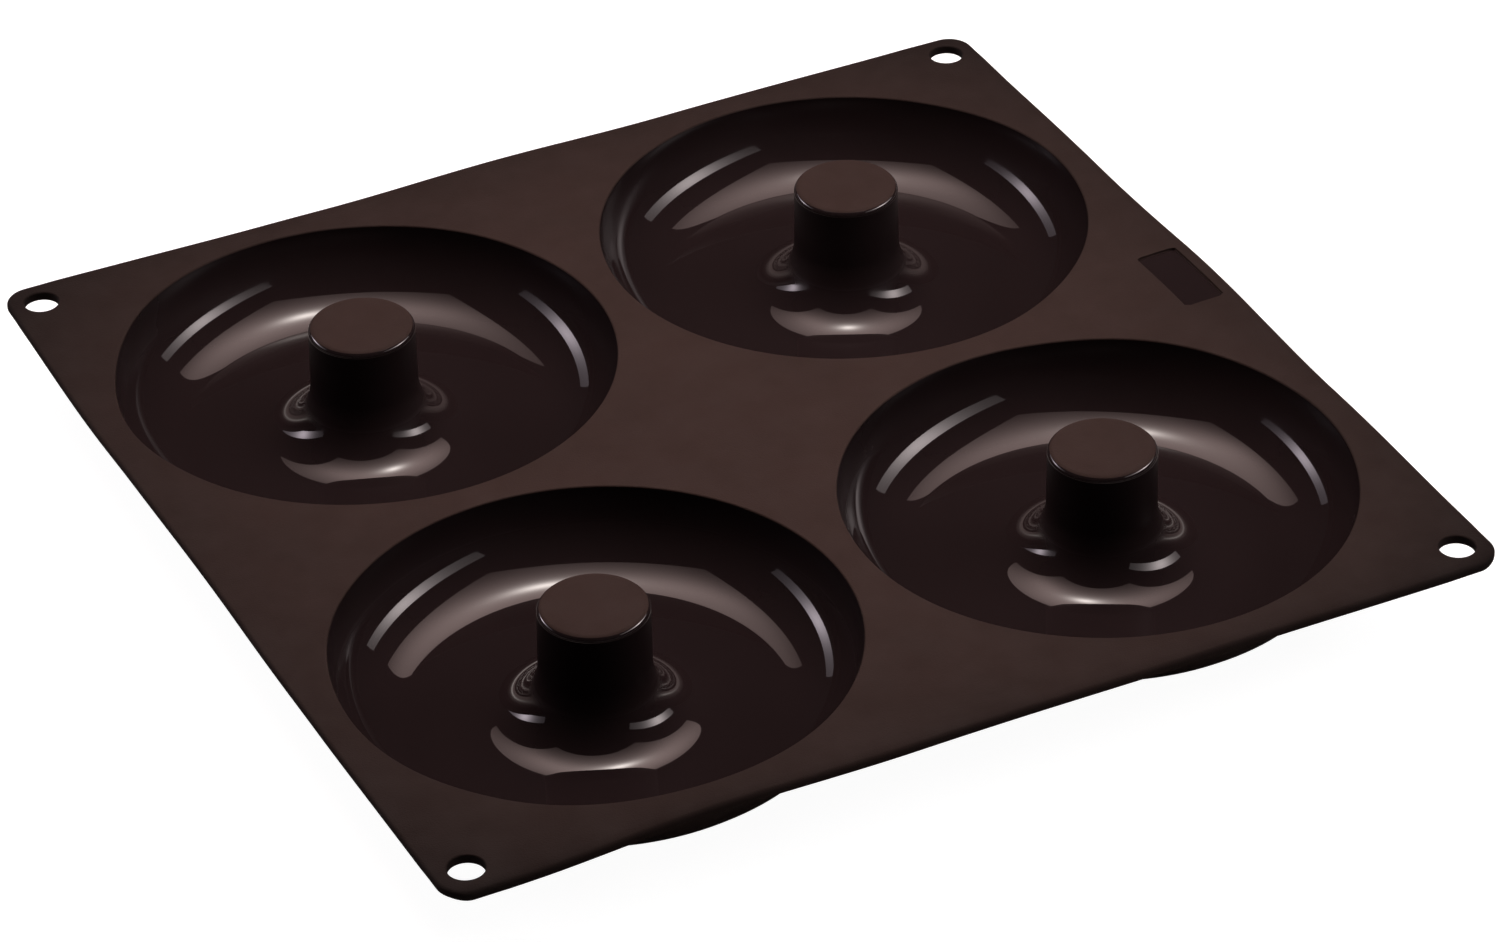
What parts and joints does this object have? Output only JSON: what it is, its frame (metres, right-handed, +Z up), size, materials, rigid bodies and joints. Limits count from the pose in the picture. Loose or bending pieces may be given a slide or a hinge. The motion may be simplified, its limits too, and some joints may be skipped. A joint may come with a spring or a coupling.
{
  "type": "silicone bagel mould",
  "caption": "Flat square flexible baking mould with ring-shaped pans round hollow centre posts, and a hanging hole in each corner.",
  "frame": {"origin": "middle of the support plane, below the centre of the square sheet", "axes": "+Z up, X and Y along the sides of the sheet, +X towards the side with the shallow recess"},
  "size_m": [0.25, 0.25, 0.0295],
  "materials": {
    "silicone": "dark brown silicone, matte on the sheet and the post tops and glossy inside the pans"
  },
  "bodies": {
    "root": {"mould": "silicone"}
  },
  "joints": []
}
